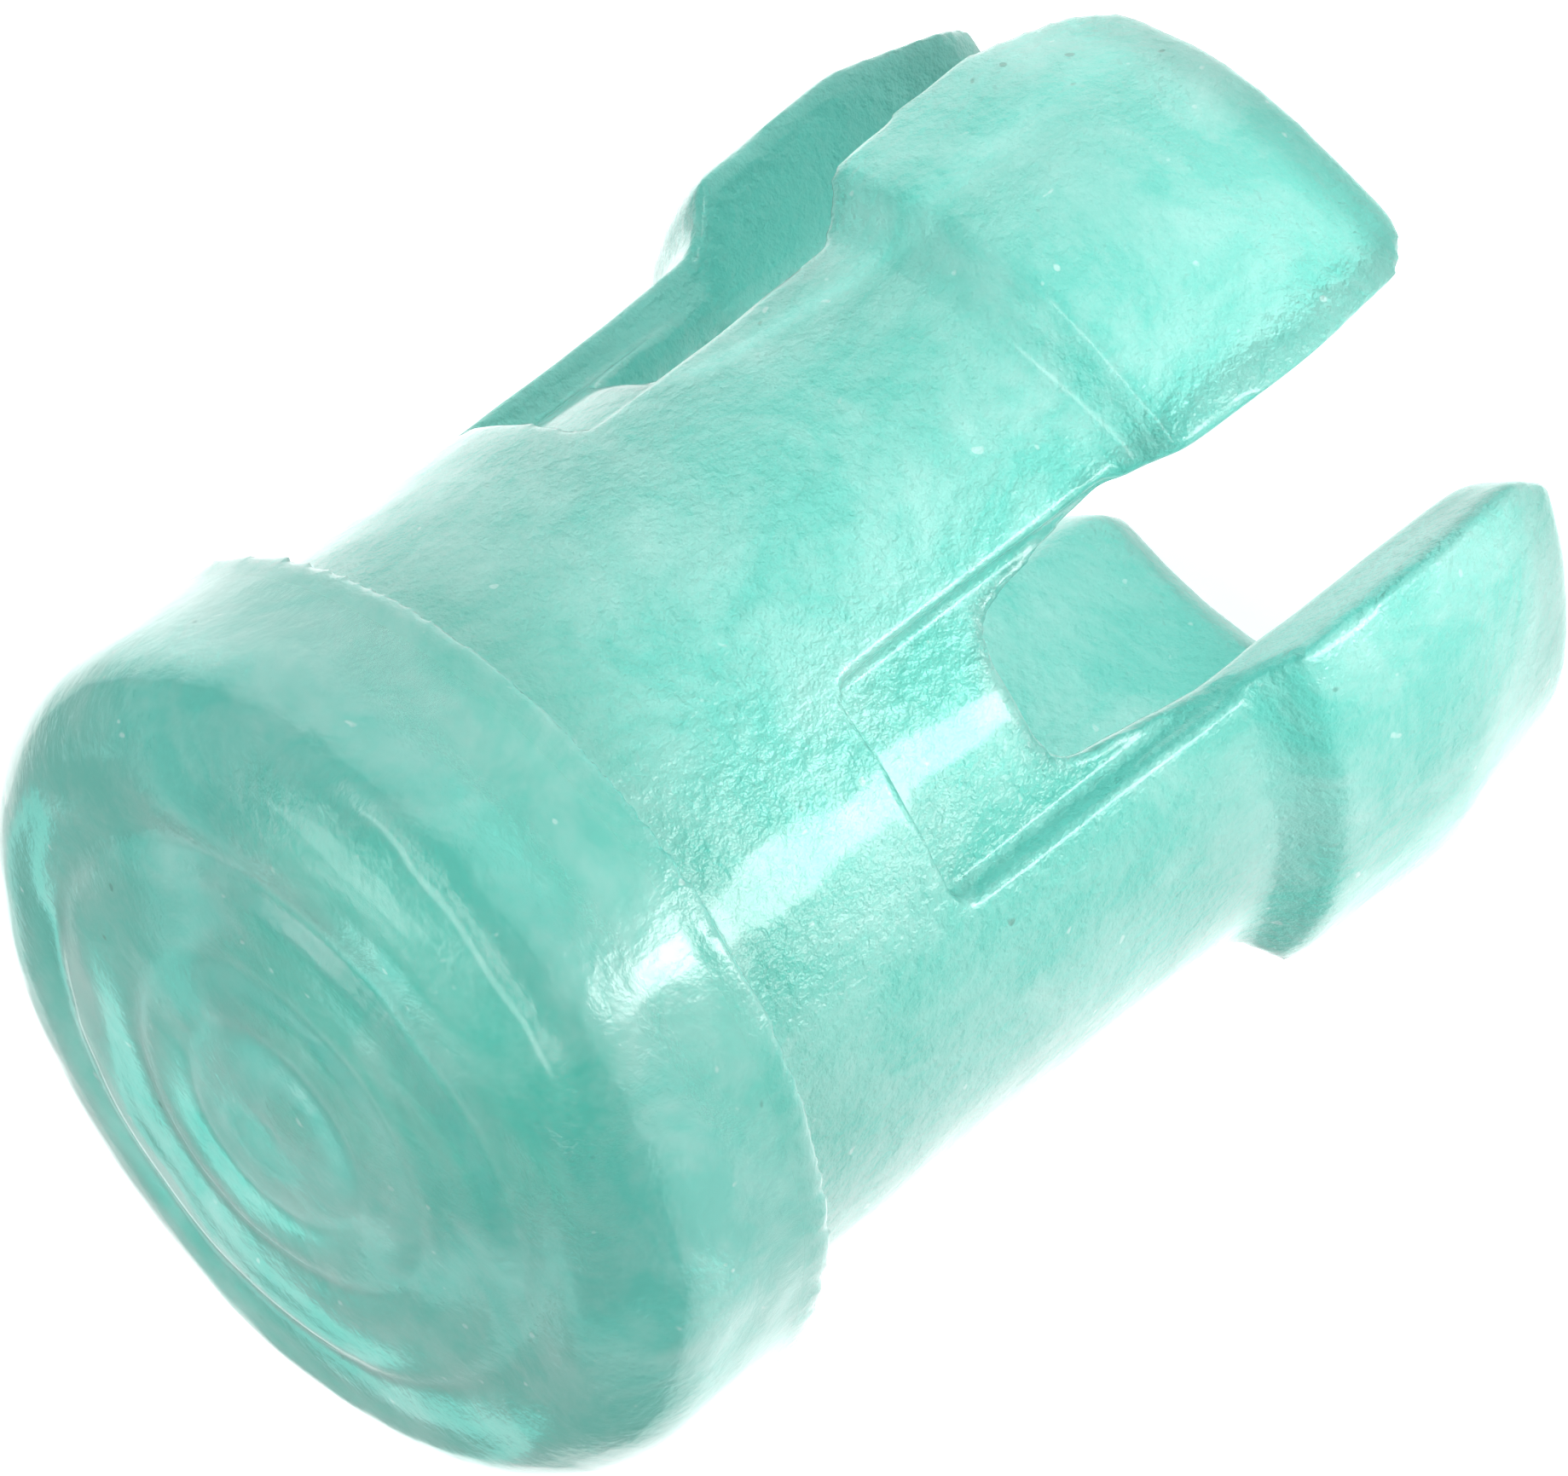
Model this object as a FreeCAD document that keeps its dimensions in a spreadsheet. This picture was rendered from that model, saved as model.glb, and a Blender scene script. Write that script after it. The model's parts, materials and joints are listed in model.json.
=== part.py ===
"""Panel lens cap with four snap fingers: a solid domed lens head on a hollow barrel that holds a 5 mm lamp.

Z runs along the barrel and points out of the lens. The origin is on the axis, in the underside of the
head, which is the plane where the head rests on the panel. Depths below the head are positive numbers in
the sheet.
"""

import FreeCAD, Part
import Sketcher
import math
import os

FINGERS = 4
TURN = 360 / FINGERS
WHOLE = 360
FAR = 20

SIZES = {
    "rim_radius": 3.59, "rim_lip": 0.20, "head_radius": 3.52, "head_height": 2.17,
    "crown_radius": 15.6, "corner_radius": 0.78,
    "ring_outer": 2.38, "ring_middle": 1.46, "ring_inner": 0.87, "ring_wire": 0.05, "ring_depth": 0.02,
    "gate_radius": 0.60, "gate_depth": 0.03,
    "neck_drop": 0.15, "barrel_radius": 3.15, "core_radius": 2.87, "bore_radius": 2.55, "dome_drop": 1.50,
    "recess_drop": 2.00, "recess_angle": 35.6,
    "slot_drop": 3.35, "deep_slot_drop": 2.95, "slot_root": 1.20, "slot_width": 1.70, "slot_full": 4.80,
    "slot_corner": 0.28,
    "hinge_drop": 3.85, "hinge_reach": 2.66,
    "knuckle_radius": 0.46, "knuckle_gap": 0.03, "knuckle_length": 3.90,
    "barb_drop": 4.94, "flare_radius": 3.18, "barb_full": 5.22, "barb_radius": 3.57, "barb_round": 0.12,
    "land_drop": 6.61, "land_radius": 3.63, "land_round": 0.60,
    "tip_drop": 7.91, "tip_radius": 3.30, "tip_round": 0.12,
    "mouth_radius": 2.62, "mouth_drop": 7.61, "lead_in": 0.30,
}


class Size:
    """A length with its value in millimetres and the sheet expression that drives it."""

    def __init__(self, value, text):
        self.value = value
        self.text = text

    def __add__(self, other):
        return Size(self.value + other.value, f"({self.text} + {other.text})")

    def __sub__(self, other):
        return Size(self.value - other.value, f"({self.text} - {other.text})")

    def __neg__(self):
        return Size(-self.value, f"(-{self.text})")

    def times(self, factor):
        return Size(self.value * factor, f"({self.text} * {factor})")

    def over(self, other):
        return Size(self.value / other.value, f"({self.text} / {other.text})")

    def by(self, other):
        return Size(self.value * other.value, f"({self.text} * {other.text})")

    def squared(self):
        return Size(self.value ** 2, f"({self.text} ^ 2)")

    def root(self):
        return Size(math.sqrt(self.value), f"sqrt({self.text})")


ZERO = Size(0.0, "0")
SIZE = {name: Size(value, f"Sizes.{name}") for name, value in SIZES.items()}


def drafted(start, end, top, bottom, drop):
    """Radius at a depth on a wall that spreads from start, at depth top, to end, at depth bottom."""
    return start + (end - start).by((drop - top).over(bottom - top))


def outer_radius(drop):
    """The tube's outside below the recess roots, where it spreads slightly towards the barbs."""
    return drafted(SIZE["barrel_radius"], SIZE["flare_radius"], SIZE["recess_drop"], SIZE["barb_drop"], drop)


def inner_radius(drop):
    """The lamp bore below the slot roots, where it spreads slightly towards its mouth."""
    return drafted(SIZE["bore_radius"], SIZE["mouth_radius"], SIZE["slot_drop"], SIZE["mouth_drop"], drop)


def add_sheet(doc):
    sheet = doc.addObject("Spreadsheet::Sheet", "Sizes")
    for row, (name, value) in enumerate(SIZES.items(), start=1):
        sheet.set(f"A{row}", name)
        sheet.set(f"B{row}", str(value))
        sheet.setAlias(f"B{row}", name)
    doc.recompute()
    return sheet


def add_body(doc, name):
    body = doc.addObject("PartDesign::Body", name)
    body.Label = name
    return body


def origin_item(body, role):
    return next(item for item in body.Origin.OriginFeatures if item.Role == role)


def add_sketch(body, name, plane):
    """An empty sketch on one of the body's own origin planes."""
    sketch = body.newObject("Sketcher::SketchObject", name)
    sketch.AttachmentSupport = (origin_item(body, plane), "")
    sketch.MapMode = "FlatFace"
    return sketch


def fix_one(sketch, kind, axis, point, size):
    """Holds one coordinate of a sketch point: on the axis if zero, else at a distance bound to the sheet."""
    element, end = point
    if size is ZERO:
        sketch.addConstraint(Sketcher.Constraint("PointOnObject", element, end, axis))
        return
    ends = (-1, 1, element, end) if size.value > 0 else (element, end, -1, 1)
    size = size if size.value > 0 else -size
    index = sketch.addConstraint(Sketcher.Constraint(kind, *ends, size.value))
    sketch.setExpression(f"Constraints[{index}]", size.text)


def fix_point(sketch, point, corner):
    across, up = corner[:2]
    fix_one(sketch, "DistanceX", -2, point, across)
    fix_one(sketch, "DistanceY", -1, point, up)


def fix_radius(sketch, element, radius):
    index = sketch.addConstraint(Sketcher.Constraint("Radius", element, radius.value))
    sketch.setExpression(f"Constraints[{index}]", radius.text)


def place(corner):
    return FreeCAD.Vector(corner[0].value, corner[1].value, 0)


def round_points(before, corner, after, radius):
    """The two tangent points and the middle of the arc that rounds a corner."""
    back = (before - corner).normalize()
    ahead = (after - corner).normalize()
    half = math.acos(max(-1.0, min(1.0, back.dot(ahead)))) / 2
    run = radius / math.tan(half)
    centre = corner + (back + ahead).normalize() * (radius / math.sin(half))
    middle = centre + (corner - centre).normalize() * radius
    return corner + back * run, middle, corner + ahead * run


def bow_arc(start, end, radius):
    """The arc of a given radius that bulges to the right of the run from start to end."""
    run = end - start
    side = FreeCAD.Vector(run.y, -run.x, 0).normalize()
    rise = radius - math.sqrt(radius ** 2 - (run.Length / 2) ** 2)
    return Part.Arc(start, (start + end) * 0.5 + side * rise, end)


def outline(sketch, corners):
    """A closed outline through corners given as (across, up, how, radius).

    how is "sharp", "round" for a corner with that radius between two straight edges, or "bow" for a sharp
    corner whose edge to the next corner is an arc of that radius.
    """
    spots = [place(corner) for corner in corners]
    starts, ends, arcs = {}, {}, {}
    for i, corner in enumerate(corners):
        starts[i] = ends[i] = spots[i]
        if corner[2] == "round":
            before, after = spots[i - 1], spots[(i + 1) % len(spots)]
            ends[i], middle, starts[i] = round_points(before, spots[i], after, corner[3].value)
            arcs[i] = sketch.addGeometry(Part.Arc(ends[i], middle, starts[i]), False)
    edges = []
    for i, corner in enumerate(corners):
        following = (i + 1) % len(corners)
        if corner[2] == "bow":
            shape = bow_arc(starts[i], ends[following], corner[3].value)
        else:
            shape = Part.LineSegment(starts[i], ends[following])
        edges.append(sketch.addGeometry(shape, False))
    for i, corner in enumerate(corners):
        join_corner(sketch, corner, edges[i - 1], edges[i], arcs.get(i), spots[i])
        if corner[2] == "bow":
            fix_radius(sketch, edges[i], corner[3])


def near_end(sketch, element, spot):
    """Which end of an edge or arc, 1 or 2, is the one nearer to a spot."""
    gaps = [(sketch.getPoint(element, end) - spot).Length for end in (1, 2)]
    return 1 if gaps[0] <= gaps[1] else 2


def join_corner(sketch, corner, before, after, arc, spot):
    """Joins two edges at their corner, directly or through the arc that rounds it."""
    if arc is None:
        last, first = near_end(sketch, before, spot), near_end(sketch, after, spot)
        sketch.addConstraint(Sketcher.Constraint("Coincident", before, last, after, first))
        fix_point(sketch, (after, first), corner)
        return
    vertex = sketch.addGeometry(Part.Point(spot), True)
    fix_point(sketch, (vertex, 1), corner)
    for edge in (before, after):
        edge_end = near_end(sketch, edge, spot)
        arc_end = near_end(sketch, arc, sketch.getPoint(edge, edge_end))
        sketch.addConstraint(Sketcher.Constraint("Tangent", edge, edge_end, arc, arc_end))
        sketch.addConstraint(Sketcher.Constraint("PointOnObject", vertex, 1, edge))
    fix_radius(sketch, arc, corner[3])


def sharp(across, up):
    return (across, up, "sharp", None)


def rounded(across, up, radius):
    return (across, up, "round", radius)


def turned(body, kind, name, sketch, angle=None, midplane=False):
    """A revolution or groove of a sketch about the part's axis, a full turn unless an angle is given."""
    feature = body.newObject(f"PartDesign::{kind}", name)
    feature.Profile = sketch
    feature.ReferenceAxis = (sketch, ["V_Axis"])
    feature.Angle = WHOLE
    feature.Midplane = midplane
    if isinstance(angle, Size):
        feature.setExpression("Angle", angle.text)
    elif angle:
        feature.Angle = angle
    return feature


def pattern(body, name, feature):
    """Repeats a feature at each finger's turn round the axis."""
    polar = body.newObject("PartDesign::PolarPattern", name)
    polar.Originals = [feature]
    polar.Axis = (origin_item(body, "Z_Axis"), [""])
    polar.Angle = WHOLE
    polar.Occurrences = FINGERS
    body.Tip = polar
    return polar


def slot_outline(sketch, drop):
    """A slot with a rounded root at a depth, widening down to the barbs and then straight."""
    root, full = SIZE["slot_root"].times(0.5), SIZE["slot_width"].times(0.5)
    wide, bottom = -SIZE["slot_full"], -SIZE["tip_drop"].times(2)
    corner = SIZE["slot_corner"]
    outline(sketch, [
        rounded(root, -drop, corner), rounded(-root, -drop, corner),
        sharp(-full, wide), sharp(-full, bottom), sharp(full, bottom), sharp(full, wide),
    ])


def cut_slots(body, prefix):
    """Cuts the two crossed through slots, with rounded roots, that part the four fingers."""
    for plane in ("XZ_Plane", "YZ_Plane"):
        sketch = add_sketch(body, f"{prefix}_slot_{plane[:2].lower()}", plane)
        slot_outline(sketch, SIZE["slot_drop"])
        slot = body.newObject("PartDesign::Pocket", f"{prefix}_slot_cut_{plane[:2].lower()}")
        slot.Profile = sketch
        slot.Type = "Length"
        slot.Length = 2 * FAR
        slot.Midplane = True


def cut_deep_slot(body):
    """Takes the slot on the +Y side of the barrel nearer to the head than the other three."""
    sketch = add_sketch(body, "deep_slot", "XZ_Plane")
    slot_outline(sketch, SIZE["deep_slot_drop"])
    before = body.Shape.Solids[0].Volume
    slot = body.newObject("PartDesign::Pocket", "deep_slot_cut")
    slot.Profile = sketch
    slot.Type = "Length"
    slot.Length = FAR
    slot.Reversed = False
    body.Document.recompute()
    barrel = body.Shape.Solids[0]
    if barrel.Volume >= before or barrel.CenterOfMass.y >= 0:
        raise RuntimeError("the deep slot didn't cut the +Y side")


def cut_recesses(body, prefix):
    """Cuts the shallow outer recess over each slot, from its root down to the barbs."""
    sketch = add_sketch(body, f"{prefix}_recess", "XZ_Plane")
    outer = SIZE["barrel_radius"].times(1.5)
    outline(sketch, [
        sharp(SIZE["core_radius"], -SIZE["barb_drop"]), sharp(outer, -SIZE["barb_drop"]),
        sharp(outer, -SIZE["recess_drop"]), sharp(SIZE["core_radius"], -SIZE["recess_drop"]),
    ])
    groove = turned(body, "Groove", f"{prefix}_recess_cut", sketch, SIZE["recess_angle"], midplane=True)
    pattern(body, f"{prefix}_recesses", groove)


def cylinder_on_hinge(body, kind, name, radius):
    """An added or removed cylinder along the hinge line of the finger at 45 degrees."""
    rod = body.newObject(f"PartDesign::{kind}Cylinder", name)
    rod.setExpression("Radius", radius.text)
    rod.setExpression("Height", SIZE["knuckle_length"].text)
    reach, half = SIZE["hinge_reach"], SIZE["knuckle_length"].times(0.5)
    diagonal = 1 / math.sqrt(2)
    rod.AttachmentOffset = FreeCAD.Placement(
        FreeCAD.Vector(0, 0, 0), FreeCAD.Rotation(FreeCAD.Vector(0, 0, 1), FreeCAD.Vector(-1, 1, 0)))
    rod.setExpression("AttachmentOffset.Base.x", (reach + half).times(diagonal).text)
    rod.setExpression("AttachmentOffset.Base.y", (reach - half).times(diagonal).text)
    rod.setExpression("AttachmentOffset.Base.z", (-SIZE["hinge_drop"]).text)
    rod.AttachmentSupport = [(origin_item(body, "XY_Plane"), "")]
    rod.MapMode = "FlatFace"
    return rod


def cut_bore_dome(body, name):
    """Hollows the round end of the lamp bore."""
    ball = body.newObject("PartDesign::SubtractiveSphere", name)
    ball.setExpression("Radius", SIZE["bore_radius"].text)
    ball.AttachmentSupport = [(origin_item(body, "XY_Plane"), "")]
    ball.MapMode = "FlatFace"
    ball.setExpression("AttachmentOffset.Base.z", (-SIZE["dome_drop"]).text)


def crown_height(radius):
    """Height of the domed crown above the panel plane at a distance from the axis."""
    crown = SIZE["crown_radius"]
    return SIZE["head_height"] - crown + (crown.squared() - radius.squared()).root()


def corner_start():
    """Where the head's wall meets its rounded corner."""
    crown, corner = SIZE["crown_radius"], SIZE["corner_radius"]
    across = SIZE["head_radius"] - corner
    rise = ((crown - corner).squared() - across.squared()).root()
    return SIZE["head_radius"], SIZE["head_height"] - crown + rise


def corner_end():
    """Where the rounded corner runs smoothly into the crown."""
    crown, corner = SIZE["crown_radius"], SIZE["corner_radius"]
    share = crown.over(crown - corner)
    across = (SIZE["head_radius"] - corner).by(share)
    return across, crown_height(across)


def cut_rings(body):
    """Cuts the three shallow rings of the lens face and the sunk gate mark at its middle."""
    sketch = add_sketch(body, "ring_sections", "XZ_Plane")
    wire, depth = SIZE["ring_wire"], SIZE["ring_depth"]
    for name in ("ring_outer", "ring_middle", "ring_inner"):
        across = SIZE[name]
        up = crown_height(across) + wire - depth
        ring = Part.Circle(place((across, up)), FreeCAD.Vector(0, 0, 1), wire.value)
        circle = sketch.addGeometry(ring, False)
        fix_radius(sketch, circle, wire)
        fix_point(sketch, (circle, 3), (across, up))
    turned(body, "Groove", "rings", sketch)
    gate = body.newObject("PartDesign::SubtractiveSphere", "gate_mark")
    gate.setExpression("Radius", SIZE["gate_radius"].text)
    gate.AttachmentSupport = [(origin_item(body, "XY_Plane"), "")]
    gate.MapMode = "FlatFace"
    height = SIZE["head_height"] + SIZE["gate_radius"] - SIZE["gate_depth"]
    gate.setExpression("AttachmentOffset.Base.z", height.text)


def make_head(doc):
    body = add_body(doc, "lens_head")
    rim, lip, wall, top = (SIZE[name] for name in ("rim_radius", "rim_lip", "head_radius", "head_height"))
    neck, foot = SIZE["barrel_radius"], -SIZE["neck_drop"]
    sketch = add_sketch(body, "head_section", "XZ_Plane")
    outline(sketch, [
        sharp(ZERO, foot), sharp(neck, foot), sharp(neck, ZERO), sharp(rim, ZERO), sharp(wall, lip),
        (*corner_start(), "bow", SIZE["corner_radius"]),
        (*corner_end(), "bow", SIZE["crown_radius"]), sharp(ZERO, top),
    ])
    turned(body, "Revolution", "head_solid", sketch)
    cut_bore_dome(body, "head_bore")
    cut_rings(body)
    return [body]


def make_barrel(doc):
    body = add_body(doc, "barrel")
    end, skin, bore = SIZE["hinge_drop"], SIZE["barrel_radius"], SIZE["bore_radius"]
    top, dome = -SIZE["neck_drop"], -SIZE["dome_drop"]
    sketch = add_sketch(body, "barrel_section", "XZ_Plane")
    outline(sketch, [
        sharp(ZERO, top), sharp(ZERO, dome), sharp(bore, dome), sharp(bore, -SIZE["slot_drop"]),
        sharp(inner_radius(end), -end), sharp(outer_radius(end), -end), sharp(skin, -SIZE["recess_drop"]),
        sharp(skin, top),
    ])
    turned(body, "Revolution", "barrel_solid", sketch)
    cut_bore_dome(body, "barrel_bore_dome")
    cut_recesses(body, "barrel")
    cut_slots(body, "barrel")
    doc.recompute()
    cut_deep_slot(body)
    seat = SIZE["knuckle_radius"] + SIZE["knuckle_gap"]
    socket = cylinder_on_hinge(body, "Subtractive", "knuckle_socket", seat)
    pattern(body, "knuckle_sockets", socket)
    return [body]


def trim_knuckle(body, prefix):
    """Trims the knuckle's cylinder back to the tube's outer and inner faces."""
    spare = SIZE["knuckle_radius"].times(1.05)
    high, low = SIZE["hinge_drop"] - spare, SIZE["hinge_drop"] + spare
    far, middle = SIZE["barrel_radius"].times(1.5), SIZE["bore_radius"].times(0.5)
    sketch = add_sketch(body, f"{prefix}_outside_section", "XZ_Plane")
    outline(sketch, [
        sharp(outer_radius(low), -low), sharp(far, -low),
        sharp(far, -high), sharp(outer_radius(high), -high),
    ])
    turned(body, "Groove", f"{prefix}_outside_trim", sketch)
    sketch = add_sketch(body, f"{prefix}_inside_section", "XZ_Plane")
    outline(sketch, [
        sharp(middle, -low), sharp(inner_radius(low), -low),
        sharp(inner_radius(high), -high), sharp(middle, -high),
    ])
    turned(body, "Groove", f"{prefix}_inside_trim", sketch)


def finger_corners():
    """The finger's wall, barb and tapered tip in section, with the lead-in at the bore's mouth."""
    hinge, mouth, tip = SIZE["hinge_drop"], SIZE["mouth_radius"], -SIZE["tip_drop"]
    return [
        sharp(inner_radius(hinge), -hinge), sharp(outer_radius(hinge), -hinge),
        sharp(SIZE["flare_radius"], -SIZE["barb_drop"]),
        rounded(SIZE["barb_radius"], -SIZE["barb_full"], SIZE["barb_round"]),
        rounded(SIZE["land_radius"], -SIZE["land_drop"], SIZE["land_round"]),
        rounded(SIZE["tip_radius"], tip, SIZE["tip_round"]),
        sharp(mouth + SIZE["lead_in"], tip), sharp(mouth, -SIZE["mouth_drop"]),
    ]


def make_finger(doc, number):
    """One snap finger, modelled at 45 degrees and turned to its place."""
    name = f"snap_finger_{number}"
    body = add_body(doc, name)
    wall = add_sketch(body, f"{name}_section", "XZ_Plane")
    outline(wall, finger_corners())
    turned(body, "Revolution", f"{name}_wall", wall, TURN)
    cylinder_on_hinge(body, "Additive", f"{name}_knuckle", SIZE["knuckle_radius"])
    trim_knuckle(body, name)
    cut_recesses(body, name)
    cut_slots(body, name)
    body.Placement = FreeCAD.Placement(
        FreeCAD.Vector(0, 0, 0), FreeCAD.Rotation(FreeCAD.Vector(0, 0, 1), TURN * (number - 1)))
    return body


def faults(doc, bodies):
    found = [item.Name for item in doc.Objects if {"Invalid", "Error"} & set(item.State)]
    for body in bodies:
        if body.Shape.isNull() or not body.Shape.isValid() or len(body.Shape.Solids) != 1:
            found.append(body.Label)
    return found


def main():
    doc = FreeCAD.newDocument("lens_cap")
    add_sheet(doc)
    bodies = make_head(doc) + make_barrel(doc)
    bodies += [make_finger(doc, number) for number in range(1, FINGERS + 1)]
    doc.recompute()
    wrong = faults(doc, bodies)
    if wrong:
        raise RuntimeError(f"failed objects: {wrong}")
    os.makedirs("parts", exist_ok=True)
    for body in bodies:
        body.Shape.exportStep(f"parts/{body.Label}.step")
        print(body.Label, round(body.Shape.Volume, 3))


main()
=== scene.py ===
"""Panel lens cap in clear aqua plastic: one soft-edged moulding, a head-and-barrel shell and four fingers.

Shapes are drawn in millimetres and scaled to metres at the end. Z runs along the barrel, out of the lens.
"""
import json
import math
import bmesh
import bpy
import numpy as np
from mathutils import Matrix, Vector, noise


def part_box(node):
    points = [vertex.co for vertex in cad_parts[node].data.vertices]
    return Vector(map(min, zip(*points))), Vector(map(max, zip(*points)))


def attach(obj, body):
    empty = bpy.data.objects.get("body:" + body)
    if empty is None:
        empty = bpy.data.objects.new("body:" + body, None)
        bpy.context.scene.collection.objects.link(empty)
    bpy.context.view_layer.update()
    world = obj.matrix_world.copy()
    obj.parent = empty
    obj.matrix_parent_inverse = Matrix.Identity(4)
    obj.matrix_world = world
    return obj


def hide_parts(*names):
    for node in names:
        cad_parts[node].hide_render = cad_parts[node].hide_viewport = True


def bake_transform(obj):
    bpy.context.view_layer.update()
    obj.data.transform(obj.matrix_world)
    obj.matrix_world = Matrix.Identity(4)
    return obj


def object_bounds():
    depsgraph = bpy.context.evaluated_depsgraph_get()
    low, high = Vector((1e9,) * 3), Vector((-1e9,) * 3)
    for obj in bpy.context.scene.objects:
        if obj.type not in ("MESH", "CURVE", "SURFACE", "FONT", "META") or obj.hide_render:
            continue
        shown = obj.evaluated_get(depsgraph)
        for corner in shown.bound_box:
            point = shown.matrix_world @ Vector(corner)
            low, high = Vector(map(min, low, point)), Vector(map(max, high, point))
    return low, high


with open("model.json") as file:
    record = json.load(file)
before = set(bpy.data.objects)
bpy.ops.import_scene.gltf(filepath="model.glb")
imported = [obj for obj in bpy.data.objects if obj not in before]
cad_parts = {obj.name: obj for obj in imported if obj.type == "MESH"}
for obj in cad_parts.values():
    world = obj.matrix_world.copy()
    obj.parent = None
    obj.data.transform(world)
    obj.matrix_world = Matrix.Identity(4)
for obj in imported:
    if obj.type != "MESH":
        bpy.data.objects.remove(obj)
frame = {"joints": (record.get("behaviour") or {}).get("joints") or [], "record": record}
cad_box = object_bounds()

MM = 0.001
FINGERS = 4
RECORD = frame["record"]
MOUNTS = {mount["name"]: mount["dims"] for mount in RECORD["mounts"] if mount["dims"]}

# sizes read from the frame, in millimetres
BARREL_R = MOUNTS["panel_hole"]["r_mm"]
RECESS_DROP = MOUNTS["panel_hole"]["length_mm"]
BORE_R = MOUNTS["lamp_bore"]["r_mm"]
HEAD_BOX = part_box("lens_head")
FINGER_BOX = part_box("snap_finger_1")
RIM_R = HEAD_BOX[1][0] / MM
HEAD_TOP = HEAD_BOX[1][2] / MM
TIP_Z = FINGER_BOX[0][2] / MM
JOINTS = {joint["child"]: joint for joint in frame["joints"]}
HINGE_Z = JOINTS["finger_1"]["pos_m"][2] / MM

# the head and the barrel, in millimetres
HEAD_R = RIM_R - 0.07
HEAD_WALL_Z = 0.6
LIP_HEIGHT = 0.20
CROWN_R = 15.6
CORNER_R = 0.78
DOME_DROP = 1.50

# the slots and the shallow outer recess over each: drops are measured down from the rim's underside
WALL_STEP = 0.28
RECESS_ANGLE = math.radians(35.6)
RECESS_CORNER = 0.22
SHORT_RECESS_DROP = RECESS_DROP + 0.35
SLOT_DROP = DOME_DROP + MOUNTS["lamp_bore"]["length_mm"]
DEEP_SLOT_DROP = SLOT_DROP - 0.40
DEEP_SLOT_START, DEEP_SLOT_MARGIN, DEEP_SLOT_LAP = 0.4, 0.06, 0.3
SLOT_ROOT, SLOT_WIDTH, SLOT_FULL_Z, SLOT_CORNER = 1.20, 1.70, -4.80, 0.34
MOUTH_FLARE = 0.36
OVERCUT = 0.15

# the fingers: the barb's levels and radii, and the mouth that the lamp goes in by
BARB_Z, BARB_FULL_Z, LAND_Z = -4.94, -5.22, -6.61
FLARE_R, BARB_R, LAND_R, TIP_R = 3.18, 3.57, 3.63, 3.30
MOUTH_R, LEAD_IN = 2.62, 0.30

# the mesh's grain, where the fingers part from the barrel, and the stretch that bends
SEAM_SHIFT = 0.37  # turns the blank a little, so that no edge lies along a slot
SHORTEST_EDGE = 0.004
VOXEL = 0.06
SPLIT_Z = HINGE_Z + 0.42
BEND_START_Z, BEND_END_Z = HINGE_Z + 0.35, HINGE_Z - 0.35

# the lens face's rings, each a radius, a depth and a width, and the height of a moulding's unevenness
FACE_RINGS = ((2.38, 0.040, 0.13), (1.46, 0.035, 0.11), (0.87, 0.030, 0.10), (0.0, 0.03, 0.10))
WAVINESS = 0.02

# the plastic: plain shader values, then its tones and how rough its two regions are
PLASTIC = {
    "IOR": 1.50, "Transmission Weight": 0.74,
    "Coat Weight": 1.0, "Coat Roughness": 0.12, "Coat IOR": 1.30,
}
# the last of these tones is painted shade: a deeper aqua on the slot flanks, for the darker look of a wall
# seen through its whole thickness
DEEP_AQUA, PALE_AQUA, FLANK_SHADE_AQUA = (0.12, 0.62, 0.53, 1), (0.42, 0.76, 0.70, 1), (0.14, 0.62, 0.54, 1)
PALE_SPECK, DARK_SPECK = (0.62, 0.86, 0.82, 1), (0.10, 0.34, 0.29, 1)
BARREL_ROUGHNESS, HEAD_ROUGHNESS = 0.33, 0.27
RELIEF_DEPTH = 0.05

# the camera, in degrees and millimetres
CAMERA_TILT, CAMERA_TURN, CAMERA_ROLL = 26.86, -73.17, 37.68
CAMERA_DISTANCE, CAMERA_WIDTH, CAMERA_RIGHT, CAMERA_UP = 193.0, 11.27, 2.168, 1.643
LIGHT_AIM_Z = -2.0


def rounded_path(corners, steps=6):
    """Points along straight runs between (across, up, rounding) corners, each corner rounded by an arc."""
    points = []
    for i, (across, up, radius) in enumerate(corners):
        here = Vector((across, up))
        if not radius:
            points.append(here)
            continue
        back = (Vector(corners[i - 1][:2]) - here).normalized()
        ahead = (Vector(corners[(i + 1) % len(corners)][:2]) - here).normalized()
        half = back.angle(ahead) / 2
        centre = here + (back + ahead).normalized() * (radius / math.sin(half))
        start = here + back * (radius / math.tan(half)) - centre
        sweep = back.angle(ahead) - math.pi
        if back.cross(ahead) > 0:
            sweep = -sweep
        points += [centre + Matrix.Rotation(-sweep * k / steps, 2) @ start for k in range(steps + 1)]
    return points


def crown_points(steps=14):
    """The head from its apex over the domed crown and round the corner to its wall."""
    share = CROWN_R / (CROWN_R - CORNER_R)
    edge = (HEAD_R - CORNER_R) * share
    crown = [(edge * k / steps, crown_z(edge * k / steps)) for k in range(steps + 1)]
    wall_z = HEAD_TOP - CROWN_R + math.sqrt((CROWN_R - CORNER_R) ** 2 - (HEAD_R - CORNER_R) ** 2)
    top = math.asin(edge / CROWN_R)
    for k in range(1, steps + 1):
        angle = top + (math.pi / 2 - top) * k / steps
        crown.append((HEAD_R - CORNER_R + CORNER_R * math.sin(angle), wall_z + CORNER_R * math.cos(angle)))
    return [Vector(point) for point in crown]


def crown_z(radius):
    """The height of the domed crown at a radius."""
    return HEAD_TOP - CROWN_R + math.sqrt(CROWN_R ** 2 - radius ** 2)


def bore_dome_points(steps=16):
    """The round end of the lamp bore, from its wall up to its middle."""
    turns = [math.pi / 2 * k / steps for k in range(steps + 1)]
    return [Vector((BORE_R * math.cos(turn), BORE_R * math.sin(turn) - DOME_DROP)) for turn in turns]


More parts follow.
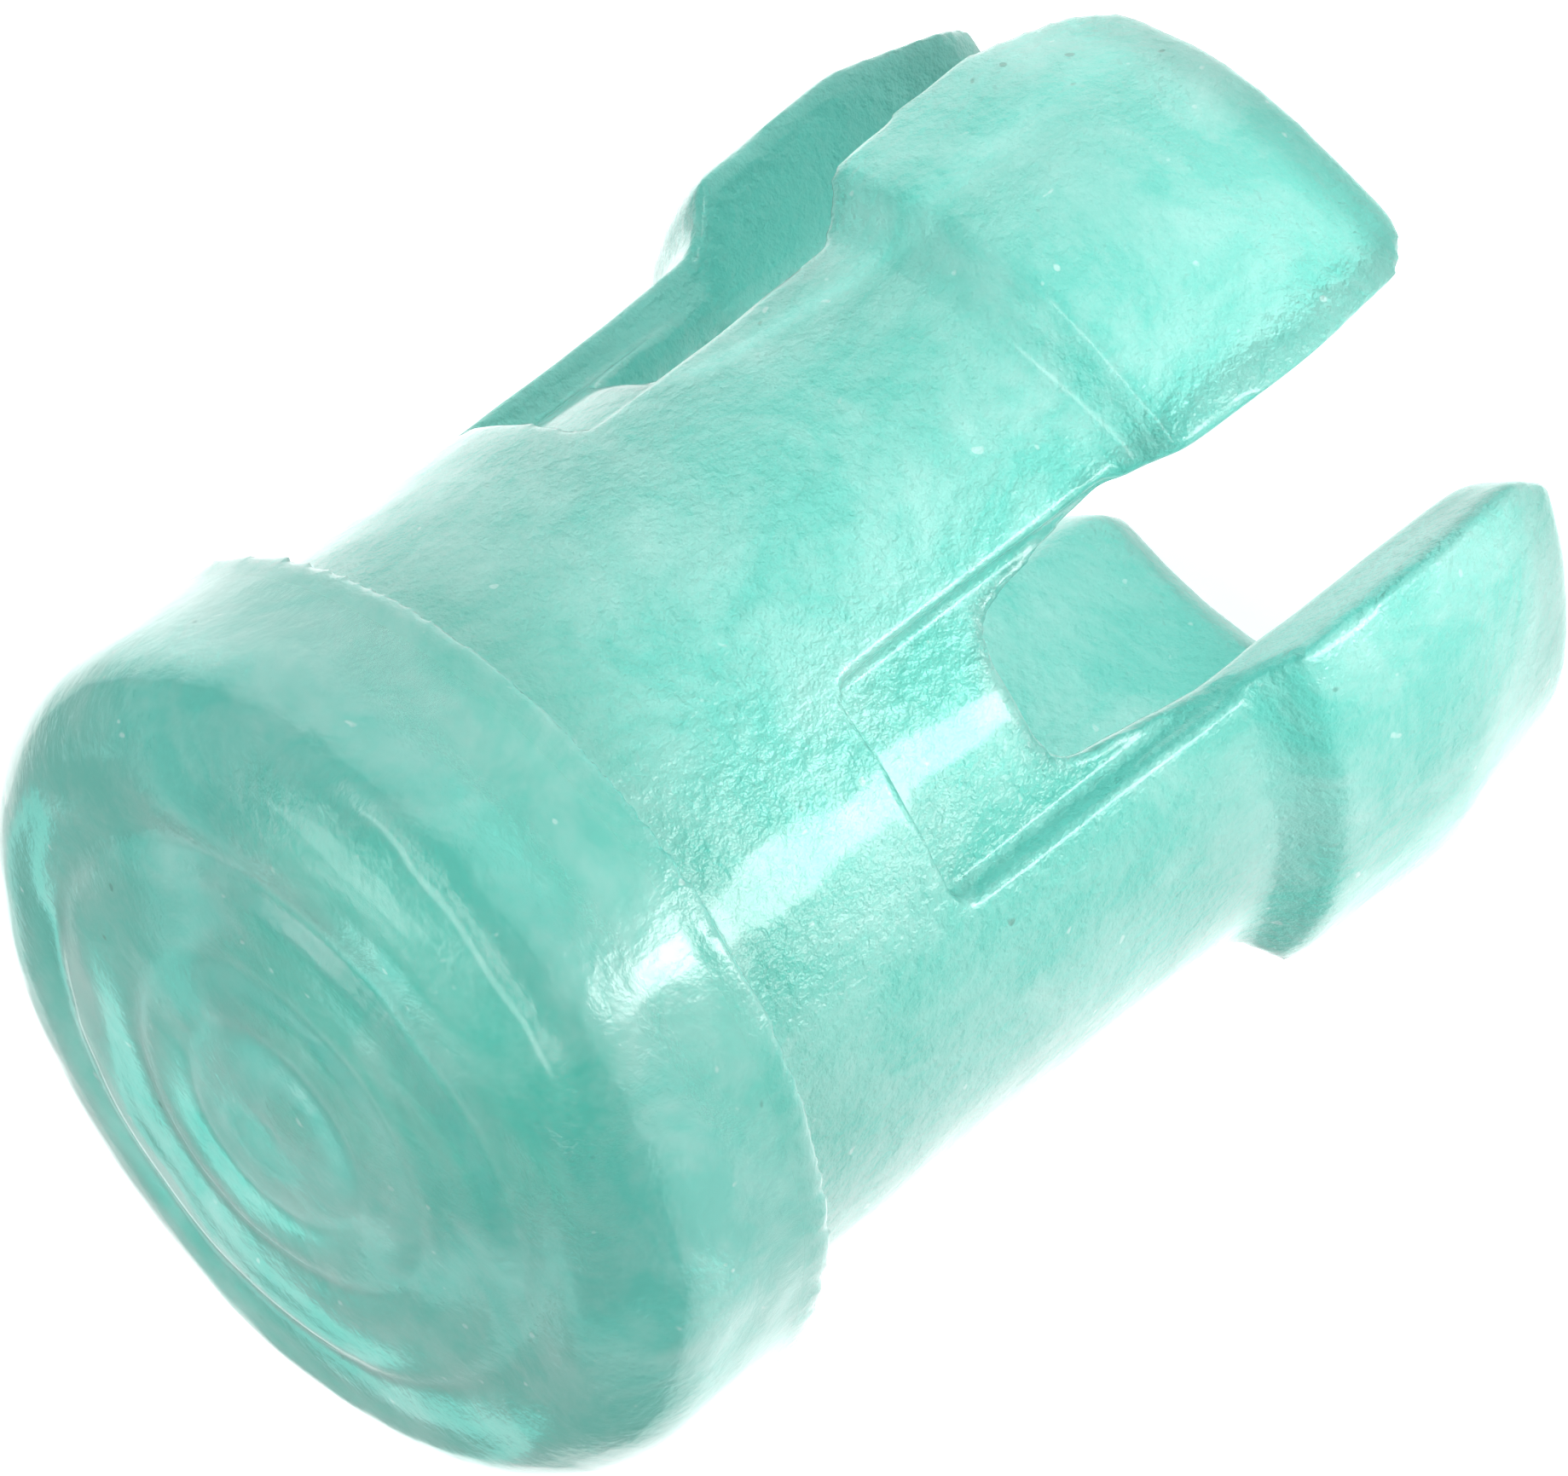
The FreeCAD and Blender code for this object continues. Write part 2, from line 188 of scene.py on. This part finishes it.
def cap_section():
    """The whole moulding in section, from the lens apex down the outside and up the bore."""
    outside = rounded_path([
        (HEAD_R, HEAD_WALL_Z, 0), (HEAD_R, LIP_HEIGHT, 0.1), (RIM_R, 0.0, 0.04), (BARREL_R, 0.0, 0.05),
        (BARREL_R, HINGE_Z, 0), (FLARE_R, BARB_Z, 0.14), (BARB_R, BARB_FULL_Z, 0.14),
        (LAND_R, LAND_Z, 1.1), (TIP_R, TIP_Z, 0.16), (MOUTH_R + LEAD_IN, TIP_Z, 0.1),
        (MOUTH_R, TIP_Z + LEAD_IN, 0.3), (BORE_R, -SLOT_DROP, 0), (BORE_R, -DOME_DROP - 0.2, 0),
    ])
    points = crown_points() + outside + bore_dome_points()
    apart = [here for here, after in zip(points, points[1:]) if (after - here).length > SHORTEST_EDGE]
    return apart + points[-1:]


def new_mesh_object(name, verts, faces):
    """A mesh object in the scene, from vertices and faces."""
    mesh = bpy.data.meshes.new(name)
    mesh.from_pydata([tuple(v) for v in verts], [], faces)
    mesh.update()
    obj = bpy.data.objects.new(name, mesh)
    bpy.context.collection.objects.link(obj)
    return obj


def turn_section(name, section, turns=160):
    """A closed solid of revolution from a section whose first and last points are on the axis."""
    rings = section[1:-1]
    verts = [(0, 0, section[0].y)]
    for turn in range(turns):
        angle = 2 * math.pi * (turn + SEAM_SHIFT) / turns
        verts += [(p.x * math.cos(angle), p.x * math.sin(angle), p.y) for p in rings]
    verts.append((0, 0, section[-1].y))
    count, last, faces = len(rings), len(verts) - 1, []
    for turn in range(turns):
        here, there = 1 + turn * count, 1 + (turn + 1) % turns * count
        faces.append((0, here, there))
        faces += [(here + k, here + k + 1, there + k + 1, there + k) for k in range(count - 1)]
        faces.append((last, there + count - 1, here + count - 1))
    return closed_solid(name, verts, faces)


def closed_solid(name, verts, faces):
    """A closed mesh object whose faces all look outwards."""
    obj = new_mesh_object(name, verts, faces)
    clean = bmesh.new()
    clean.from_mesh(obj.data)
    bmesh.ops.recalc_face_normals(clean, faces=clean.faces)
    clean.to_mesh(obj.data)
    clean.free()
    return obj


def prism(name, outline, near, far):
    """A closed prism: an outline of (u, v) points placed by near(u, v) and far(u, v)."""
    count = len(outline)
    verts = [near(p.x, p.y) for p in outline] + [far(p.x, p.y) for p in outline]
    faces = [tuple(range(count)), tuple(range(2 * count - 1, count - 1, -1))]
    faces += [((k + 1) % count, k, count + k, count + (k + 1) % count) for k in range(count)]
    return closed_solid(name, verts, faces)


def slot_cutter(name, turn):
    """A through slot with a rounded root, right across the tube."""
    root, full, low = SLOT_ROOT / 2, SLOT_WIDTH / 2, TIP_Z - OVERCUT
    outline = rounded_path([
        (-root, -SLOT_DROP, SLOT_CORNER), (root, -SLOT_DROP, SLOT_CORNER), (full, SLOT_FULL_Z, 0.8),
        (full, TIP_Z + MOUTH_FLARE, 0.4), (full + MOUTH_FLARE, low, 0), (-full - MOUTH_FLARE, low, 0),
        (-full, TIP_Z + MOUTH_FLARE, 0.4), (-full, SLOT_FULL_Z, 0.8),
    ])
    place = Matrix.Rotation(turn, 3, "Z")
    reach = LAND_R + 1

    def near(u, v):
        return place @ Vector((u, -reach, v))

    def far(u, v):
        return place @ Vector((u, reach, v))

    return prism(name, outline, near, far)


def deep_slot_cutter(name):
    """The +Y slot's higher root, which runs down into the through slot and ends inside it."""
    root, low = SLOT_ROOT / 2, SLOT_FULL_Z + DEEP_SLOT_LAP
    wide = SLOT_WIDTH / 2 - DEEP_SLOT_MARGIN
    outline = rounded_path([
        (-root, -DEEP_SLOT_DROP, SLOT_CORNER), (root, -DEEP_SLOT_DROP, SLOT_CORNER),
        (wide, low, 0), (-wide, low, 0),
    ])
    reach = LAND_R + 1

    def near(u, v):
        return Vector((u, DEEP_SLOT_START, v))

    def far(u, v):
        return Vector((u, reach, v))

    return prism(name, outline, near, far)


def recess_cutter(name, turn, drop, columns=28):
    """The shallow recess over a slot: its curved floor follows the tube, and its root corners are round."""
    half, low = RECESS_ANGLE / 2 * BARREL_R, BARB_Z + 0.05
    floor, clear = BARREL_R - WALL_STEP, BARREL_R + 0.3
    verts = []
    for k in range(columns + 1):
        across = half * math.sin(math.pi * (k / columns - 0.5))
        over = min(RECESS_CORNER, max(0.0, abs(across) - half + RECESS_CORNER))
        top = -drop - RECESS_CORNER + math.sqrt(RECESS_CORNER ** 2 - over ** 2)
        angle = turn + across / BARREL_R
        for radius, up in ((floor, low), (floor, top), (clear, top), (clear, low)):
            verts.append((radius * math.cos(angle), radius * math.sin(angle), up))
    faces = [(0, 1, 2, 3), tuple(range(4 * columns, 4 * columns + 4))]
    for k in range(0, 4 * columns, 4):
        faces += [(k + i, k + (i + 1) % 4, k + 4 + (i + 1) % 4, k + 4 + i) for i in range(4)]
    return closed_solid(name, verts, faces)


def cut_away(body, cutters):
    """Takes the cutters off the body, one boolean each."""
    for cutter in cutters:
        step = body.modifiers.new(cutter.name, "BOOLEAN")
        step.operation = "DIFFERENCE"
        step.solver = "EXACT"
        step.object = cutter


def mould_cap():
    """The cap's mesh in millimetres: turned, cut, then remeshed and smoothed to a moulding's soft edges."""
    body = turn_section("cap_blank", cap_section())
    slots = [slot_cutter(f"slot_cut_{k}", math.pi / 2 * k) for k in range(2)]
    slots.append(deep_slot_cutter("deep_slot_cut"))
    drops = [SHORT_RECESS_DROP] + [RECESS_DROP] * (FINGERS - 1)
    recesses = [recess_cutter(f"recess_cut_{k}", math.pi / 2 * k, drop) for k, drop in enumerate(drops)]
    add_remesh(body, VOXEL)
    for cutters in [[slot] for slot in slots] + [recesses]:
        cut_away(body, cutters)
        add_remesh(body, VOXEL)
    smooth = body.modifiers.new("soft_edges", "SMOOTH")
    smooth.factor = 0.5
    smooth.iterations = 5
    shape = bpy.data.meshes.new_from_object(body.evaluated_get(bpy.context.evaluated_depsgraph_get()))
    heights = vertex_rows(shape)[:, 2]
    if heights.max() < HEAD_TOP - VOXEL or heights.min() > TIP_Z + VOXEL:
        raise RuntimeError("the cuts lost part of the cap")
    for obj in [body] + slots + recesses:
        bpy.data.objects.remove(obj, do_unlink=True)
    return shape


def add_remesh(body, voxel):
    """Rebuilds the body as one closed skin of even quads."""
    remesh = body.modifiers.new("even_grain", "REMESH")
    remesh.mode = "VOXEL"
    remesh.voxel_size = voxel


def vertex_rows(mesh, field="co"):
    """A mesh's vertex places, or normals, as rows of three numbers."""
    rows = np.empty(len(mesh.vertices) * 3, dtype=np.float32)
    mesh.vertices.foreach_get(field, rows)
    return rows.reshape(-1, 3).astype(float)


def moulding_marks(spots):
    """How far each point of the moulded surface stands off its true shape, in millimetres."""
    across = np.hypot(spots[:, 0], spots[:, 1])
    lift = np.zeros(len(spots))
    face = spots[:, 2] > HEAD_TOP - 0.45
    for radius, depth, width in FACE_RINGS:
        lift -= np.where(face, depth * np.exp(-(((across - radius) / width) ** 2)), 0.0)
    for i, spot in enumerate(spots):
        here = Vector(spot)
        lift[i] += WAVINESS * noise.noise(here * 0.9) + 0.35 * WAVINESS * noise.noise(here * 2.6)
    return lift


def flank_shade_mask(spots, normals):
    """Painted shade: 1 on the flanks of the slots, which are painted a deeper aqua for the darker look of
    the wall seen through its whole thickness, and 0 elsewhere.
    """
    across = np.hypot(spots[:, 0], spots[:, 1])
    sideways = np.abs(normals[:, 1] * spots[:, 0] - normals[:, 0] * spots[:, 1]) / np.maximum(across, 0.1)
    off_axis = np.minimum(np.abs(spots[:, 0]), np.abs(spots[:, 1]))
    inside = (spots[:, 2] < -DEEP_SLOT_DROP) & (off_axis < SLOT_WIDTH)
    return np.where(inside, np.clip((sideways - 0.6) / 0.3, 0, 1), 0.0)


def mark_surface(mesh):
    """Adds the rings of the lens face and the gentle unevenness of a moulding, then scales to metres."""
    spots, normals = vertex_rows(mesh), vertex_rows(mesh, "normal")
    spots += normals * moulding_marks(spots)[:, None]
    spots[:, 2] = np.clip(spots[:, 2], TIP_Z, HEAD_TOP)
    # painted shade: marks the slot flanks that are painted a deeper aqua
    mark = mesh.attributes.new("painted_flank_shade", "FLOAT", "POINT")
    mark.data.foreach_set("value", flank_shade_mask(spots, normals).astype(np.float32))
    mesh.vertices.foreach_set("co", (spots * MM).astype(np.float32).ravel())
    mesh.update()


def split_piece(whole, name, keep):
    """The part of the moulding whose faces pass keep(centre), shaded as one surface with the rest."""
    normals = {tuple(v.co): tuple(v.normal) for v in whole.verts}
    part = whole.copy()
    unwanted = [face for face in part.faces if not keep(face.calc_center_median())]
    bmesh.ops.delete(part, geom=unwanted, context="FACES")
    mesh = bpy.data.meshes.new(name)
    part.to_mesh(mesh)
    part.free()
    mesh.shade_smooth()
    mesh.normals_split_custom_set_from_vertices([normals[tuple(v.co)] for v in mesh.vertices])
    obj = bpy.data.objects.new(name, mesh)
    bpy.context.collection.objects.link(obj)
    return obj


def split_moulding(mesh):
    """The head-and-barrel shell and the four finger shells, which meet on one level."""
    whole = bmesh.new()
    whole.from_mesh(mesh)
    level = Vector((0, 0, SPLIT_Z * MM))
    geometry = whole.verts[:] + whole.edges[:] + whole.faces[:]
    bmesh.ops.bisect_plane(whole, geom=geometry, plane_co=level, plane_no=(0, 0, 1), dist=1e-8)
    whole.normal_update()
    shell = split_piece(whole, "head_and_barrel_shell", lambda centre: centre.z > level.z)
    fingers = []
    for number, (right, back) in enumerate(((1, 1), (-1, 1), (-1, -1), (1, -1)), start=1):
        def in_finger(centre):
            return centre.z < level.z and centre.x * right > 0 and centre.y * back > 0

        fingers.append(split_piece(whole, f"finger_shell_{number}", in_finger))
    whole.free()
    return shell, fingers


def add_node(nodes, kind, **settings):
    """A shader node with values for its sockets, named with underscores for spaces."""
    node = nodes.new(kind)
    for name, value in settings.items():
        node.inputs[name.replace("_", " ")].default_value = value
    return node


def blend_values(nodes, links, mask, low, high):
    """A value that runs from low to high as a mask runs from 0 to 1."""
    span = nodes.new("ShaderNodeMapRange")
    links.new(mask, span.inputs["Value"])
    span.inputs["To Min"].default_value = low
    span.inputs["To Max"].default_value = high
    return span.outputs["Result"]


def combine(nodes, links, how, first, second):
    """The sum or product of two values, each a socket or a number."""
    step = nodes.new("ShaderNodeMath")
    step.operation = how
    for socket, value in zip(step.inputs, (first, second)):
        if isinstance(value, (int, float)):
            socket.default_value = value
        else:
            links.new(value, socket)
    return step.outputs["Value"]


def moulded_height(nodes, links, spot, head_mask):
    """The surface's fine relief: orange peel on the barrel and fingers, soft flow rings on the head."""
    peel = add_node(nodes, "ShaderNodeTexNoise", Scale=8500, Detail=3, Roughness=0.6)
    links.new(spot, peel.inputs["Vector"])
    peel_share = blend_values(nodes, links, head_mask, 1.0, 0.22)
    swirl = nodes.new("ShaderNodeTexWave")
    swirl.wave_type = "RINGS"
    swirl.rings_direction = "Z"
    for name, value in (("Scale", 380), ("Distortion", 5.0), ("Detail", 2.0), ("Detail Scale", 0.9)):
        swirl.inputs[name].default_value = value
    links.new(spot, swirl.inputs["Vector"])
    swirl_share = combine(nodes, links, "MULTIPLY", head_mask, 1.2)
    return combine(
        nodes, links, "ADD", combine(nodes, links, "MULTIPLY", peel.outputs["Fac"], peel_share),
        combine(nodes, links, "MULTIPLY", swirl.outputs["Fac"], swirl_share))


def specks(nodes, links, spot, scale, rarity):
    """A mask of small scattered specks, rarer as rarity nears 1."""
    dots = add_node(nodes, "ShaderNodeTexNoise", Scale=scale, Detail=1)
    links.new(spot, dots.inputs["Vector"])
    cut = add_node(nodes, "ShaderNodeMapRange", From_Min=rarity, From_Max=rarity + 0.04)
    links.new(dots.outputs["Fac"], cut.inputs["Value"])
    return cut.outputs["Result"]


def tinted(nodes, links, colour, mask, tint):
    """A colour that turns to a tint where a mask is 1."""
    mix = nodes.new("ShaderNodeMix")
    mix.data_type = "RGBA"
    links.new(mask, mix.inputs["Factor"])
    links.new(colour, mix.inputs["A"])
    mix.inputs["B"].default_value = tint
    return mix.outputs["Result"]


def clear_plastic():
    """Hazy aqua plastic: a tinted clear body, cloudy patches, specks, painted shade on the slot flanks, and
    a glossier head.
    """
    material = bpy.data.materials.new("clear_aqua_plastic")
    material.use_nodes = True
    nodes, links = material.node_tree.nodes, material.node_tree.links
    shader = nodes["Principled BSDF"]
    for name, value in PLASTIC.items():
        shader.inputs[name].default_value = value
    spot = nodes.new("ShaderNodeTexCoord").outputs["Object"]
    place = nodes.new("ShaderNodeSeparateXYZ")
    links.new(spot, place.inputs["Vector"])
    head = add_node(nodes, "ShaderNodeMapRange", From_Min=-0.3 * MM, From_Max=0.3 * MM)
    links.new(place.outputs["Z"], head.inputs["Value"])
    head_mask = head.outputs["Result"]

    cloud = add_node(nodes, "ShaderNodeTexNoise", Scale=900, Detail=7, Roughness=0.68, Distortion=0.5)
    links.new(spot, cloud.inputs["Vector"])
    tone = nodes.new("ShaderNodeValToRGB")
    tone.color_ramp.elements[0].position, tone.color_ramp.elements[0].color = 0.42, DEEP_AQUA
    tone.color_ramp.elements[1].position, tone.color_ramp.elements[1].color = 0.68, PALE_AQUA
    links.new(cloud.outputs["Fac"], tone.inputs["Fac"])
    colour = tinted(nodes, links, tone.outputs["Color"], specks(nodes, links, spot, 6500, 0.75), PALE_SPECK)
    colour = tinted(nodes, links, colour, specks(nodes, links, spot, 5200, 0.78), DARK_SPECK)
    # painted shade: the slot flanks turn a deeper aqua, for the darker look of a wall seen through its
    # whole thickness
    cut = nodes.new("ShaderNodeAttribute")
    cut.attribute_name = "painted_flank_shade"
    colour = tinted(nodes, links, colour, cut.outputs["Fac"], FLANK_SHADE_AQUA)
    links.new(colour, shader.inputs["Base Color"])
    roughness = blend_values(nodes, links, head_mask, BARREL_ROUGHNESS, HEAD_ROUGHNESS)
    links.new(roughness, shader.inputs["Roughness"])

    bump = add_node(nodes, "ShaderNodeBump", Strength=1.0, Distance=RELIEF_DEPTH * MM)
    links.new(moulded_height(nodes, links, spot, head_mask), bump.inputs["Height"])
    links.new(bump.outputs["Normal"], shader.inputs["Normal"])
    return material


def build_cap():
    """The cap's shell, which rides on its body, and its fingers, each baked in place."""
    shape = mould_cap()
    mark_surface(shape)
    shell, fingers = split_moulding(shape)
    plastic = clear_plastic()
    for piece in [shell] + fingers:
        piece.data.materials.append(plastic)
    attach(shell, "cap")
    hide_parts("lens_head", "barrel")
    for number, piece in enumerate(fingers, start=1):
        start, end = (0, 0, BEND_START_Z * MM), (0, 0, BEND_END_Z * MM)
        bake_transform(piece)
        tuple(start)
        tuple(end)
        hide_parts(f"snap_finger_{number}")


def add_floor():
    """A bright white floor just under the cap."""
    mesh = bpy.data.meshes.new("studio_floor")
    half, z = 0.5, cad_box[0][2] - 0.00002
    corners = [(-half, -half, z), (half, -half, z), (half, half, z), (-half, half, z)]
    mesh.from_pydata(corners, [], [(0, 1, 2, 3)])
    floor = bpy.data.objects.new("studio_floor", mesh)
    bpy.context.collection.objects.link(floor)
    paint = bpy.data.materials.new("pale_floor")
    paint.use_nodes = True
    shader = paint.node_tree.nodes["Principled BSDF"]
    shader.inputs["Base Color"].default_value = (0.9, 0.9, 0.9, 1)
    shader.inputs["Roughness"].default_value = 0.9
    shader.inputs["Emission Color"].default_value = (1, 1, 1, 1)
    shader.inputs["Emission Strength"].default_value = 0.85
    mesh.materials.append(paint)


def view_axes():
    """The camera's right, up and back directions: it is raised over the cap's side and rolled."""
    tilt, turn, roll = (math.radians(angle) for angle in (CAMERA_TILT, CAMERA_TURN, CAMERA_ROLL))
    up_axis = Vector((0, 0, 1))
    side = Vector((math.cos(turn - math.pi / 2), math.sin(turn - math.pi / 2), 0))
    front = Vector((math.cos(turn), math.sin(turn), 0))
    back = math.sin(tilt) * up_axis + math.cos(tilt) * front
    along = (-up_axis + math.sin(tilt) * back) / math.cos(tilt)
    right = math.cos(roll) * along + math.sin(roll) * side
    up = math.sin(roll) * along - math.cos(roll) * side
    return right, up, back


def add_camera():
    """A long lens far off, framed to CAMERA_WIDTH at the cap."""
    right, up, back = view_axes()
    data = bpy.data.cameras.new("studio_camera")
    data.lens = CAMERA_DISTANCE / CAMERA_WIDTH * data.sensor_width
    data.clip_start, data.clip_end = 0.01, 10
    camera = bpy.data.objects.new("studio_camera", data)
    centre = (right * CAMERA_RIGHT + up * CAMERA_UP) * MM
    camera.matrix_world = Matrix.Translation(centre + back * CAMERA_DISTANCE * MM) @ Matrix(
        (right, up, back)).transposed().to_4x4()
    bpy.context.collection.objects.link(camera)
    bpy.context.scene.camera = camera


def studio_direction(side, front, up):
    """A direction given across the view, towards the camera's side of the cap, and up."""
    turn = math.radians(CAMERA_TURN)
    across = Vector((math.cos(turn - math.pi / 2), math.sin(turn - math.pi / 2), 0))
    return across * side + Vector((math.cos(turn), math.sin(turn), 0)) * front + Vector((0, 0, up))


def add_softbox(name, towards, along, distance, size, brightness, aim_z=LIGHT_AIM_Z):
    """A rectangular lamp, out of the camera's sight, whose long side runs along a direction."""
    width, height = size[0] * MM, size[1] * MM
    data = bpy.data.lights.new(name, "AREA")
    data.shape = "RECTANGLE"
    data.size, data.size_y = width, height
    data.energy = brightness * math.pi * width * height
    back = studio_direction(*towards).normalized()
    across = studio_direction(*along)
    across = (across - back * across.dot(back)).normalized()
    lamp = bpy.data.objects.new(name, data)
    middle = Vector((0, 0, aim_z)) + back * distance
    lamp.matrix_world = Matrix.Translation(middle * MM) @ Matrix(
        (across, back.cross(across), back)).transposed().to_4x4()
    lamp.visible_camera = False
    bpy.context.collection.objects.link(lamp)


def add_light():
    """Even white air, a lamp overhead, a small strip near the barrel and a long one for the head's edge."""
    world = bpy.data.worlds.new("studio_air")
    bpy.context.scene.world = world
    world.use_nodes = True
    sky = world.node_tree.nodes["Background"]
    sky.inputs["Color"].default_value = (1, 1, 1, 1)
    sky.inputs["Strength"].default_value = 0.59
    add_softbox("overhead_softbox", (-0.306, -0.05, 0.952), (1, 0, 0), 120, (50, 50), 4)
    add_softbox("low_strip", (0.391, 0.801, -0.452), (0, 0.45, 0.89), 11, (7.4, 1.9), 17, aim_z=-0.9)
    add_softbox("rim_strip", (-0.114, 0.5525, 0.6355), (1.0, -0.15, 0.305), 100, (130, 12), 10)


bpy.context.scene.view_settings.view_transform = "Standard"
add_camera()
build_cap()
add_floor()
add_light()
